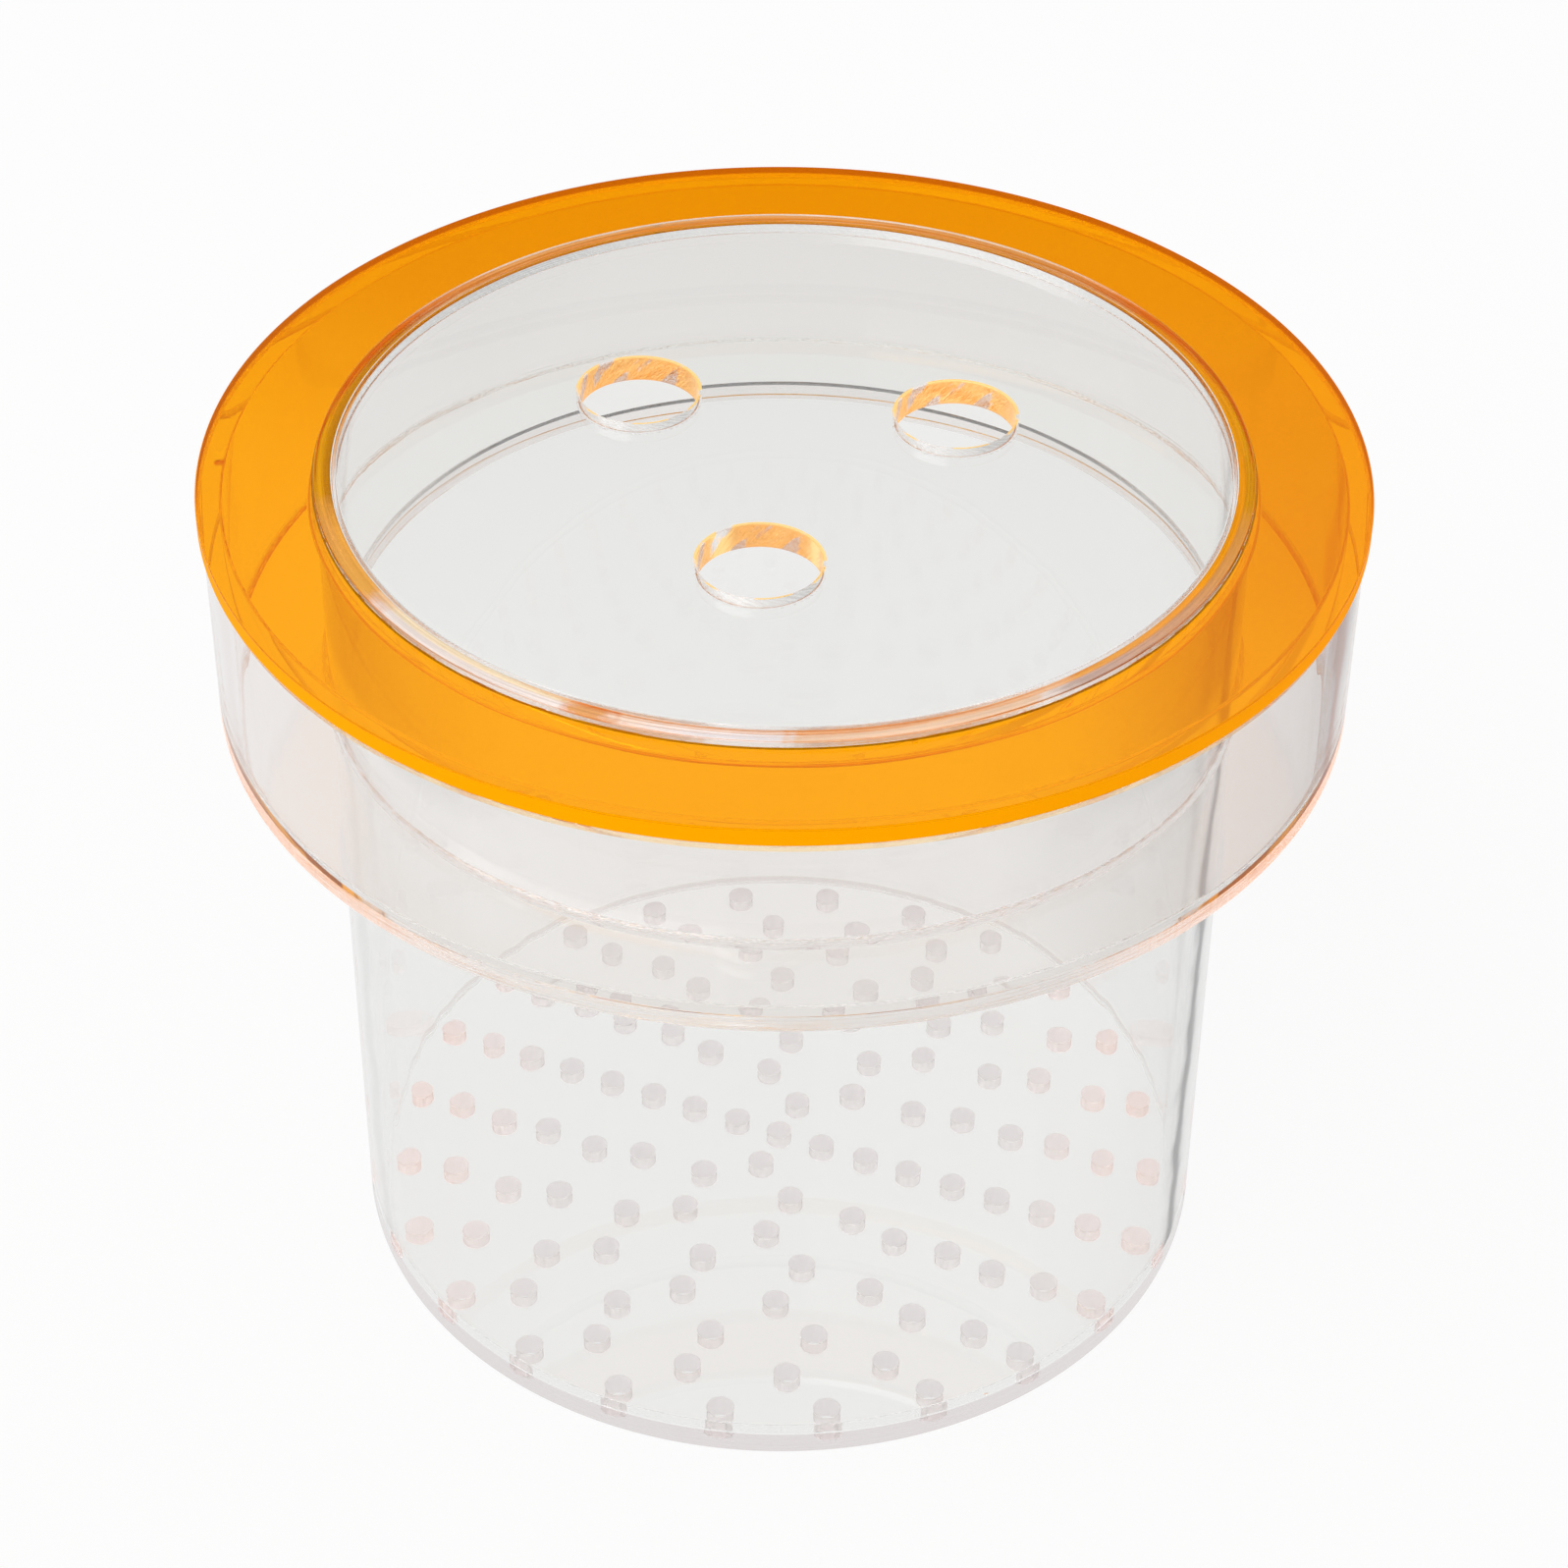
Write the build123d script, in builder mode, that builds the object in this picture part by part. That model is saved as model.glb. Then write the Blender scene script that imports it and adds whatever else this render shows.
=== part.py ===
from build123d import *
import math
import os

# Floating breeder box for an aquarium: a clear acrylic cup with a drilled floor, held at the
# water line by a sealed ring of air round its upper end, and closed by a loose lid.
# Millimetres. The origin is the centre of the underside, +Z is up and the cup's axis, and
# -Y is the side that faces the viewer.

# Chamber: a tube standing on the drilled floor disc
tube_od = 100.0
tube_wall = 2.0
tube_length = 98.8
floor_thickness = 3.0

# Drilled pattern: a centre hole and rings of holes that all start on one straight row
drain_hole_d = 3.0
ring_pitch = 5.68
hole_spacing = 11.6
row_angle = -23.0
least_land = 0.8

# Float: a wall between two flat rings, all bonded, with air sealed inside. Its width is how
# far the wall's outer face stands out from the tube's.
float_width = 12.0
float_wall_thickness = 2.0
float_wall_height = 22.0
float_floor_thickness = 2.0
float_cover_thickness = 2.0
cover_overhang = 0.45
rim_stand = 0.8
bond_gap = 0.1

# Lid: a disc that drops flush into the tube's mouth
lid_thickness = 3.0
lid_clearance = 0.3
finger_hole_d = 13.0
finger_hole_circle = 40.0
finger_hole_count = 3
finger_hole_start = 22.9

# Cut edges that hands touch are broken by a small chamfer
edge_break = 0.2

# Radii and heights that follow
tube_radius = tube_od / 2
bore_radius = tube_radius - tube_wall
tube_top = floor_thickness + tube_length
cover_top = tube_top - rim_stand
cover_bottom = cover_top - float_cover_thickness
float_floor_top = cover_bottom - float_wall_height
float_floor_bottom = float_floor_top - float_floor_thickness
float_radius = tube_radius + float_width
collar_radius = tube_radius + bond_gap
lid_bottom = tube_top - lid_thickness


def ring_angles(radius):
    """Angles of the holes on one ring, an even number spaced about evenly along it."""
    count = 2 * round(math.pi * radius / hole_spacing)
    return [row_angle + 360 * i / count for i in range(count)]


# Floor disc, flush with the tube outside and bonded to its lower end
drilled_radius = bore_radius - drain_hole_d / 2 - least_land
with BuildPart() as floor_disc:
    with BuildSketch():
        Circle(tube_radius)
        Circle(drain_hole_d / 2, mode=Mode.SUBTRACT)
        for ring in range(1, int(drilled_radius / ring_pitch) + 1):
            ring_radius = ring * ring_pitch
            for angle in ring_angles(ring_radius):
                with Locations(Vector(ring_radius, 0).rotate(Axis.Z, angle)):
                    Circle(drain_hole_d / 2, mode=Mode.SUBTRACT)
    extrude(amount=floor_thickness)
    chamfer(floor_disc.edges().group_by(Axis.Z)[0].sort_by(SortBy.LENGTH)[-1], edge_break)

# Chamber tube
with BuildPart() as chamber_tube:
    with BuildSketch(Plane.XY.offset(floor_thickness)):
        Circle(tube_radius)
        Circle(bore_radius, mode=Mode.SUBTRACT)
    extrude(amount=tube_length)
    chamfer(chamber_tube.edges().group_by(Axis.Z)[-1], edge_break)

# Float floor, slipped over the tube and bonded to it
with BuildPart() as float_floor:
    with BuildSketch(Plane.XY.offset(float_floor_bottom)):
        Circle(float_radius)
        Circle(collar_radius, mode=Mode.SUBTRACT)
    extrude(amount=float_floor_thickness)
    chamfer(float_floor.edges().group_by(Axis.Z)[0].sort_by(SortBy.LENGTH)[-1], edge_break)

# Float wall, standing on the float floor's outer edge
with BuildPart() as float_wall:
    with BuildSketch(Plane.XY.offset(float_floor_top)):
        Circle(float_radius)
        Circle(float_radius - float_wall_thickness, mode=Mode.SUBTRACT)
    extrude(amount=float_wall_height)

# Orange float cover, a little wider than the wall and a little below the tube's rim
with BuildPart() as float_cover:
    with BuildSketch(Plane.XY.offset(cover_bottom)):
        Circle(float_radius + cover_overhang)
        Circle(collar_radius, mode=Mode.SUBTRACT)
    extrude(amount=float_cover_thickness)
    outer_edges = float_cover.edges().sort_by(SortBy.LENGTH)[-2:]
    chamfer(outer_edges, edge_break)

# Lid with its finger holes
with BuildPart() as lid:
    with BuildSketch(Plane.XY.offset(lid_bottom)):
        Circle(bore_radius - lid_clearance)
        with PolarLocations(finger_hole_circle / 2, finger_hole_count, finger_hole_start):
            Circle(finger_hole_d / 2, mode=Mode.SUBTRACT)
    extrude(amount=lid_thickness)
    chamfer(lid.edges().filter_by(GeomType.CIRCLE), edge_break)

floor_disc.part.label = "floor_disc"
chamber_tube.part.label = "chamber_tube"
float_floor.part.label = "float_floor"
float_wall.part.label = "float_wall"
float_cover.part.label = "float_cover"
lid.part.label = "lid"

os.makedirs("parts", exist_ok=True)
export_step(floor_disc.part, "parts/floor_disc.step")
export_step(chamber_tube.part, "parts/chamber_tube.step")
export_step(float_floor.part, "parts/float_floor.step")
export_step(float_wall.part, "parts/float_wall.step")
export_step(float_cover.part, "parts/float_cover.step")
export_step(lid.part, "parts/lid.step")
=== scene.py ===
import math

import bpy
from mathutils import Matrix, Vector, geometry


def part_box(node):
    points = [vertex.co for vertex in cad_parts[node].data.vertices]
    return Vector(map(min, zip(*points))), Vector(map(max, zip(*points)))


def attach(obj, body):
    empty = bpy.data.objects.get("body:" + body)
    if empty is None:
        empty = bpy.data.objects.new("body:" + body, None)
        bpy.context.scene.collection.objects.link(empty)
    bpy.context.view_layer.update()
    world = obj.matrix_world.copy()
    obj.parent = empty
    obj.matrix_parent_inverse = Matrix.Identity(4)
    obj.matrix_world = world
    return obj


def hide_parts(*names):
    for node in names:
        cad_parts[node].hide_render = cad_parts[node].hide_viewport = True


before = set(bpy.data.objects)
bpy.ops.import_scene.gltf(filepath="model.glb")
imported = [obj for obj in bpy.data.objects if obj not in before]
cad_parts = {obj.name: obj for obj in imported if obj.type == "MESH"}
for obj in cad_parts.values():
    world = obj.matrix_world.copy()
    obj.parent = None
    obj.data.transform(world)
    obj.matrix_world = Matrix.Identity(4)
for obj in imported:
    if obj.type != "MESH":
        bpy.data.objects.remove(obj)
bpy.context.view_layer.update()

MM = 0.001


# Sizes from the CAD parts

def heights(node):
    """Lowest and highest level of a CAD node."""
    low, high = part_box(node)
    return low.z / MM, high.z / MM


def reach(node):
    """Outer radius of a CAD node that is round about the upright axis."""
    low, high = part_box(node)
    return (high.y - low.y) / 2 / MM


disc_bottom, disc_top = heights("floor_disc")
tube_bottom, tube_top = heights("chamber_tube")
base_bottom, base_top = heights("float_floor")
wall_bottom, wall_top = heights("float_wall")
cover_bottom, cover_top = heights("float_cover")
lid_bottom, lid_top = heights("lid")

tube_radius = reach("chamber_tube")
float_radius = reach("float_wall")
cover_radius = reach("float_cover")
lid_radius = reach("lid")

# Sizes that a box can't give, as they are in the solids
tube_wall = 2.0
float_wall_thickness = 2.0
drain_hole = 3.0
ring_pitch = 5.68
hole_spacing = 11.6
row_angle = -23.0
least_land = 0.8
finger_hole = 13.0
finger_circle = 40.0
finger_count = 3
finger_start = 22.9

bore_radius = tube_radius - tube_wall
float_bore = float_radius - float_wall_thickness

# How far along its wall, up from the foot, the middle of the tube's end lies
end_middle = tube_top - tube_bottom + tube_wall / 2

# Roundings that the maker's tools leave on edges
broken_edge = 0.18
drilled_edge = 0.04
sharp_edge = 0.02
foot_edge = 0.12

# Cement: the line it leaves at a joint, the beads squeezed out along it and the fillets in the
# corners. A fillet's hollow is the radius with which it runs out, and like the width of the
# cover's fillet it is a share of the fillet's height.
joint_line = 0.015
cement_bead = 0.15
squeeze_out = 0.35
outer_bead = 0.9
ring_fillet = 0.5
foot_fillet = 0.3
fillet_hollow = 0.8
cover_fillet = 1.5
cover_fillet_least = 0.3
cover_fillet_width = 0.8
cover_fillet_hollow = 0.6

# Mesh: how far in from its edge the outline of a sheet starts, and the steps of a rounded corner
# and the points round a piece, a finger hole and a drain hole
face_margin = 1.0
arc_steps = 3
round_points = 360
finger_hole_points = 120
drain_hole_points = 40


# Materials

def linear(code):
    """An sRGB hex colour such as "#F2A10E" as linear RGBA."""
    parts = [int(code[i:i + 2], 16) / 255 for i in (1, 3, 5)]
    return [c / 12.92 if c <= 0.04045 else ((c + 0.055) / 1.055) ** 2.4 for c in parts] + [1.0]


def add(tree, kind, sockets=None, **settings):
    """Adds a node with its settings. A socket takes a number or colour, or an output to link."""
    node = tree.nodes.new(kind)
    for name, value in settings.items():
        setattr(node, name, value)
    for name, value in (sockets or {}).items():
        if isinstance(value, bpy.types.NodeSocket):
            tree.links.new(value, node.inputs[name])
        else:
            node.inputs[name].default_value = value
    return node


def new_material(name):
    """An empty node material and its output node."""
    material = bpy.data.materials.new(name)
    material.use_nodes = True
    material.node_tree.nodes.clear()
    return material, material.node_tree, add(material.node_tree, "ShaderNodeOutputMaterial")


WHITE = linear("#FFFFFF")
BLACK = linear("#000000")

# The two plastics. The orange has painted shade: its colour is deeper away from the key lamp.
ORANGE = linear("#DCA600")
PAINTED_SHADE_ORANGE = linear("#B68800")
ACRYLIC = {"Transmission Weight": 1.0, "IOR": 1.49}
CLEAR_ACRYLIC = {**ACRYLIC, "Base Color": linear("#FDFDFC")}
# Emission Color is the colour of the painted glow that stands in for the dye's fluorescence
ORANGE_ACRYLIC = {**ACRYLIC, "Base Color": ORANGE, "Specular Tint": linear("#FF8A00"),
                  "Emission Color": linear("#FF7A00")}


def painted_shade_away_from_lamp(tree):
    """How much painted shade deepens the orange at a place: 0 in front and to the left, on the key
    lamp's side, up to 1 at the back and to the right."""
    place = add(tree, "ShaderNodeTexCoord").outputs["Object"]
    back = add(tree, "ShaderNodeVectorMath", {0: place, 1: (0.5, 0.85, 0.0)},
               operation="DOT_PRODUCT")
    return add(tree, "ShaderNodeMapRange", {"Value": back.outputs["Value"],
                                            "From Min": -35 * MM, "From Max": 15 * MM},
               interpolation_type="SMOOTHSTEP").outputs["Result"]


def going_in(tree, amount):
    """An amount where a line of sight goes into the plastic, and 0 where it comes out."""
    leaving = add(tree, "ShaderNodeNewGeometry").outputs["Backfacing"]
    return add(tree, "ShaderNodeMix", {"Factor": leaving, "A": amount, "B": 0.0}).outputs["Result"]


def painted_glow_going_in(tree, strength):
    """Painted glow: an emission that stands in for the orange dye's fluorescence and the orange
    light it sends through the plastic, a fifth stronger where the painted shade is deepest. It is
    given once, where a line of sight goes into the plastic: light that runs to and fro inside would
    otherwise add it up at every turn."""
    glow = add(tree, "ShaderNodeMapRange", {"Value": painted_shade_away_from_lamp(tree), "To Min": strength,
                                            "To Max": 1.2 * strength})
    return going_in(tree, glow.outputs["Result"])


def painted_light_at_sides(tree):
    """How far out to the left or right a place is: 0 in the middle, 1 at the sides, where a painted
    orange light stands in for the light that the cover sends down the walls."""
    place = add(tree, "ShaderNodeTexCoord").outputs["Object"]
    across = add(tree, "ShaderNodeSeparateXYZ", {"Vector": place}).outputs["X"]
    side = add(tree, "ShaderNodeMath", {0: across}, operation="ABSOLUTE")
    return add(tree, "ShaderNodeMapRange", {"Value": side.outputs[0], "From Min": 28 * MM,
                                            "From Max": 50 * MM}).outputs["Result"]


def near_cover(tree):
    """How much of the painted orange light from the cover a place on the lid gets: all of it while
    the lid lies in the tube's mouth, and none from 15 mm above the mouth."""
    place = add(tree, "ShaderNodeNewGeometry").outputs["Position"]
    height = add(tree, "ShaderNodeSeparateXYZ", {"Vector": place}).outputs["Z"]
    return add(tree, "ShaderNodeMapRange", {"Value": height, "From Min": (lid_top + 1) * MM,
                                            "From Max": (lid_top + 15) * MM, "To Min": 1.0,
                                            "To Max": 0.0}).outputs["Result"]


def polished_acrylic(name, plastic, glow=0.0):
    """Cast acrylic sheet with its factory faces: glass clear, dead flat but for a slow waviness
    that bends what is seen through it a little, and a few faint rubs from handling. The dye of a
    fluorescent sheet gives back more light than the clear pieces show, so it has a painted glow, an
    emission that stands in for that light, and painted shade that deepens its orange away from the
    key lamp."""
    material, tree, out = new_material(name)
    place = add(tree, "ShaderNodeTexCoord").outputs["Object"]
    wave_length, wave_depth, rub_size = 28 * MM, 0.04 * MM, 3 * MM
    wave = add(tree, "ShaderNodeTexNoise", {"Vector": place, "Scale": 1 / wave_length,
                                            "Detail": 1.0})
    rub = add(tree, "ShaderNodeTexNoise", {"Vector": place, "Scale": 1 / rub_size, "Detail": 6.0,
                                           "Roughness": 0.7})
    haze = add(tree, "ShaderNodeMapRange", {"Value": rub.outputs["Fac"], "From Min": 0.55,
                                            "From Max": 0.8, "To Min": 0.0, "To Max": 0.05})
    relief = add(tree, "ShaderNodeBump", {"Height": wave.outputs["Fac"], "Strength": 1.0,
                                          "Distance": wave_depth})
    skin = add(tree, "ShaderNodeBsdfPrincipled",
               {**plastic, "Roughness": haze.outputs["Result"], "Normal": relief.outputs["Normal"]})
    # Painted shade in the base colour and a painted glow
    if glow:
        # Base colour with painted shade: a deeper orange away from the key lamp
        dye = add(tree, "ShaderNodeMix", {"Factor": painted_shade_away_from_lamp(tree), 6: ORANGE,
                                          7: PAINTED_SHADE_ORANGE}, data_type="RGBA")
        tree.links.new(dye.outputs[2], skin.inputs["Base Color"])
        tree.links.new(painted_glow_going_in(tree, glow), skin.inputs["Emission Strength"])
    tree.links.new(skin.outputs[0], out.inputs["Surface"])
    material.cycles.emission_sampling = "NONE"
    return material


def drawn_acrylic(name, plastic, caught, under_cover=0.0):
    """Extruded acrylic tube: clear, with long faint draw lines down its length from the die. Where
    it is seen along the wall, a painted streak in its colour stands in for the light and shade
    caught in it, deepest on the right, away from the lamp. under_cover is how deep that painted
    shade also grows under the cover, where the wall turns away."""
    material, tree, out = new_material(name)
    place = add(tree, "ShaderNodeTexCoord").outputs["Object"]
    spot = add(tree, "ShaderNodeSeparateXYZ", {"Vector": place})
    line_width, line_depth, line_squeeze, waver_size = 9 * MM, 0.03 * MM, 0.06, 12 * MM
    along = add(tree, "ShaderNodeMapping", {"Vector": place, "Scale": (1.0, 1.0, line_squeeze)})
    lines = add(tree, "ShaderNodeTexNoise", {"Vector": along.outputs[0], "Scale": 1 / line_width,
                                             "Detail": 2.0})
    waver = add(tree, "ShaderNodeTexNoise", {"Vector": place, "Scale": 1 / waver_size,
                                             "Detail": 3.0})
    facing = add(tree, "ShaderNodeLayerWeight", {"Blend": 0.5}).outputs["Facing"]
    facing = add(tree, "ShaderNodeMath", {0: waver.outputs["Fac"], 1: 0.12, 2: facing},
                 operation="MULTIPLY_ADD")
    along_wall = add(tree, "ShaderNodeValToRGB", {"Fac": facing.outputs[0]})
    stops = along_wall.color_ramp.elements
    # The painted streak's depth, from a wall seen nearly face on to one seen edge on
    streak = ((0.56, 0.0), (0.82, 0.1), (0.855, 0.3), (0.88, 1.0), (0.905, 1.0), (0.93, 0.25),
              (0.98, 0.0))
    for _ in streak[2:]:
        stops.new(0.5)
    for stop, (position, depth) in zip(stops, streak):
        stop.position, stop.color = position, (depth, depth, depth, 1.0)
    # Painted shade: the streak is deeper towards the right, away from the key lamp
    side = add(tree, "ShaderNodeMapRange", {"Value": spot.outputs["X"], "From Min": -30 * MM,
                                            "From Max": 48 * MM, "To Min": 0.25})
    shaded = add(tree, "ShaderNodeMath", {0: along_wall.outputs["Color"],
                                          1: side.outputs["Result"]}, operation="MULTIPLY")
    # Painted shade under the cover, where the wall turns away
    if under_cover:
        shady = add(tree, "ShaderNodeMapRange", {"Value": spot.outputs["Z"],
                                                 "From Min": (base_top + 5) * MM,
                                                 "From Max": (base_top + 9) * MM})
        turning = add(tree, "ShaderNodeMapRange", {"Value": facing.outputs[0], "From Min": 0.45,
                                                   "From Max": 0.85, "To Max": under_cover})
        shade = add(tree, "ShaderNodeMath", {0: shady.outputs["Result"],
                                             1: turning.outputs["Result"]}, operation="MULTIPLY")
        shaded = add(tree, "ShaderNodeMath", {0: shaded.outputs[0], 1: shade.outputs[0]},
                     operation="MAXIMUM")
    tint = add(tree, "ShaderNodeMix", {"Factor": going_in(tree, shaded.outputs[0]),
                                       6: plastic["Base Color"], 7: caught}, data_type="RGBA")
    relief = add(tree, "ShaderNodeBump", {"Height": lines.outputs["Fac"], "Strength": 1.0,
                                          "Distance": line_depth})
    skin = add(tree, "ShaderNodeBsdfPrincipled",
               {**plastic, "Base Color": tint.outputs[2], "Roughness": 0.0,
                "Normal": relief.outputs["Normal"]})
    tree.links.new(skin.outputs[0], out.inputs["Surface"])
    return material


def cut_edge(name, plastic, strokes, lines, roughness, slant=0.0, glow=0.0, broken=False,
             at_sides=False):
    """A cut edge of acrylic. The cutter leaves ridges across the edge, leaning by slant, and finer
    lines along it, as deep as strokes and lines say. They break up what is seen through the edge
    into bright and dark hatching. With a glow, the edge has a painted glow, and on the lid a
    painted orange tint too, standing in for the orange light that comes through the sheet: all
    over, in slanted patches on the lid while it is in place (broken), or only towards the left and
    right (at_sides)."""
    material, tree, out = new_material(name)
    wall = add(tree, "ShaderNodeUVMap", uv_map="wall_mm").outputs["UV"]
    turned_by = add(tree, "ShaderNodeMapping", {"Vector": wall, "Rotation": (0.0, 0.0, slant)})
    ridge_width, ridge_length = 0.5, 4.0
    line_width, line_length = 0.35, 25.0
    across = add(tree, "ShaderNodeMapping", {"Vector": turned_by.outputs[0],
                                             "Scale": (1 / ridge_width, 1 / ridge_length, 1.0)})
    along = add(tree, "ShaderNodeMapping", {"Vector": wall,
                                            "Scale": (1 / line_length, 1 / line_width, 1.0)})
    ridges = add(tree, "ShaderNodeTexNoise", {"Vector": across.outputs[0], "Scale": 1.0,
                                              "Detail": 3.0, "Roughness": 0.6})
    grooves = add(tree, "ShaderNodeTexNoise", {"Vector": along.outputs[0], "Scale": 1.0,
                                               "Detail": 2.0})
    hatched = add(tree, "ShaderNodeBump", {"Height": ridges.outputs["Fac"], "Strength": 1.0,
                                           "Distance": strokes * MM})
    relief = add(tree, "ShaderNodeBump", {"Height": grooves.outputs["Fac"], "Strength": 1.0,
                                          "Distance": lines * MM,
                                          "Normal": hatched.outputs["Normal"]})
    skin = add(tree, "ShaderNodeBsdfPrincipled",
               {**plastic, "Roughness": roughness, "Normal": relief.outputs["Normal"]})
    # Painted glow, and on the lid a painted orange tint
    if glow:
        light = painted_glow_going_in(tree, glow)
        if broken:
            patch_width, patch_length = 3.0, 9.0
            slanted = add(tree, "ShaderNodeMapping",
                          {"Vector": turned_by.outputs[0],
                           "Scale": (1 / patch_width, 1 / patch_length, 1.0)})
            patch = add(tree, "ShaderNodeTexNoise", {"Vector": slanted.outputs[0], "Scale": 1.0,
                                                     "Detail": 3.0})
            kept = add(tree, "ShaderNodeMapRange", {"Value": patch.outputs["Fac"],
                                                    "From Min": 0.52, "From Max": 0.56,
                                                    "To Min": 1.0, "To Max": 0.05})
            kept = add(tree, "ShaderNodeMath", {0: kept.outputs["Result"], 1: near_cover(tree)},
                       operation="MULTIPLY")
            light = add(tree, "ShaderNodeMath", {0: light, 1: kept.outputs[0]},
                        operation="MULTIPLY").outputs[0]
            tint = add(tree, "ShaderNodeMix", {"Factor": going_in(tree, kept.outputs[0]),
                                               6: plastic["Base Color"],
                                               7: plastic["Emission Color"]}, data_type="RGBA")
            tree.links.new(tint.outputs[2], skin.inputs["Base Color"])
        if at_sides:
            light = add(tree, "ShaderNodeMath", {0: light, 1: painted_light_at_sides(tree)},
                        operation="MULTIPLY").outputs[0]
        tree.links.new(light, skin.inputs["Emission Strength"])
    tree.links.new(skin.outputs[0], out.inputs["Surface"])
    material.cycles.emission_sampling = "NONE"
    return material


def faced_end(name, plastic, inner_half, outer_half, glow):
    """The tube's end, faced by a saw and a scraper: fine rings from the facing, crossed by short
    saw strokes, so that what is seen down the wall of the tube breaks into lines. The end has
    painted light and painted shade in its colour, and a painted glow, for the orange light that
    comes in through the cover's cement. How much changes from one ragged stretch of the bond to the
    next, so the inner and the outer half of the end each have a list of painted tints, with the
    angle in degrees from +X at which each is pure. Its colour is also darker along the facing
    rings."""
    material, tree, out = new_material(name)
    wall = add(tree, "ShaderNodeUVMap", uv_map="wall_mm").outputs["UV"]
    spot = add(tree, "ShaderNodeSeparateXYZ", {"Vector": wall})
    tear_size, tear_reach, halves_blend = 1.25, 2.5, 0.15
    ragged = add(tree, "ShaderNodeTexNoise", {"Vector": wall, "Scale": 1 / tear_size,
                                              "Detail": 3.0})
    spread = add(tree, "ShaderNodeMapRange", {"Value": ragged.outputs["Fac"],
                                              "To Min": -tear_reach, "To Max": tear_reach})
    there = add(tree, "ShaderNodeMath", {0: spot.outputs["X"], 1: spread.outputs["Result"]},
                operation="ADD")
    turn = add(tree, "ShaderNodeMath", {0: there.outputs[0], 1: 2 * math.pi * tube_radius},
               operation="DIVIDE")
    halves = []
    # Painted light and shade round the end, one ramp of tints for each half
    for stretches in (inner_half, outer_half):
        bond = add(tree, "ShaderNodeValToRGB", {"Fac": turn.outputs[0]})
        stops = bond.color_ramp.elements
        for start, _ in stretches[2:]:
            stops.new(start / 360)
        for stop, (start, tint) in zip(stops, stretches):
            stop.position, stop.color = start / 360, linear(tint)
        halves.append(bond.outputs["Color"])
    half = add(tree, "ShaderNodeMapRange", {"Value": spot.outputs["Y"],
                                            "From Min": end_middle + halves_blend,
                                            "From Max": end_middle - halves_blend})
    tint = add(tree, "ShaderNodeMix", {"Factor": half.outputs["Result"], 6: halves[0],
                                       7: halves[1]}, data_type="RGBA")
    ring_width, ring_length, ring_depth = 0.3, 30.0, 0.1 * MM
    stroke_width, stroke_length, stroke_depth = 0.35, 1.5, 0.05 * MM
    ring_lines = add(tree, "ShaderNodeMapping", {"Vector": wall,
                                                 "Scale": (1 / ring_length, 1 / ring_width, 1.0)})
    rings = add(tree, "ShaderNodeTexNoise", {"Vector": ring_lines.outputs[0], "Scale": 1.0,
                                             "Detail": 2.0, "Roughness": 0.6})
    stroke_lines = add(tree, "ShaderNodeMapping",
                       {"Vector": wall, "Scale": (1 / stroke_width, 1 / stroke_length, 1.0)})
    strokes = add(tree, "ShaderNodeTexNoise", {"Vector": stroke_lines.outputs[0], "Scale": 1.0,
                                               "Detail": 2.0})
    ringed = add(tree, "ShaderNodeBump", {"Height": rings.outputs["Fac"], "Strength": 1.0,
                                          "Distance": ring_depth})
    sawn = add(tree, "ShaderNodeBump", {"Height": strokes.outputs["Fac"], "Strength": 1.0,
                                        "Distance": stroke_depth,
                                        "Normal": ringed.outputs["Normal"]})
    # The base colour is darker along the facing rings
    darker_along_rings = add(tree, "ShaderNodeMapRange", {"Value": rings.outputs["Fac"], "From Min": 0.42,
                                               "From Max": 0.58, "To Min": 0.3, "To Max": 0.0})
    tint = add(tree, "ShaderNodeMix", {"Factor": darker_along_rings.outputs["Result"], 6: tint.outputs[2],
                                       7: BLACK}, data_type="RGBA")
    skin = add(tree, "ShaderNodeBsdfPrincipled",
               {**plastic, "Base Color": tint.outputs[2], "Specular Tint": tint.outputs[2],
                "Roughness": 0.1, "Normal": sawn.outputs["Normal"],
                "Emission Color": tint.outputs[2], "Emission Strength": painted_glow_going_in(tree, glow)})
    tree.links.new(skin.outputs[0], out.inputs["Surface"])
    material.cycles.emission_sampling = "NONE"
    return material


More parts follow.
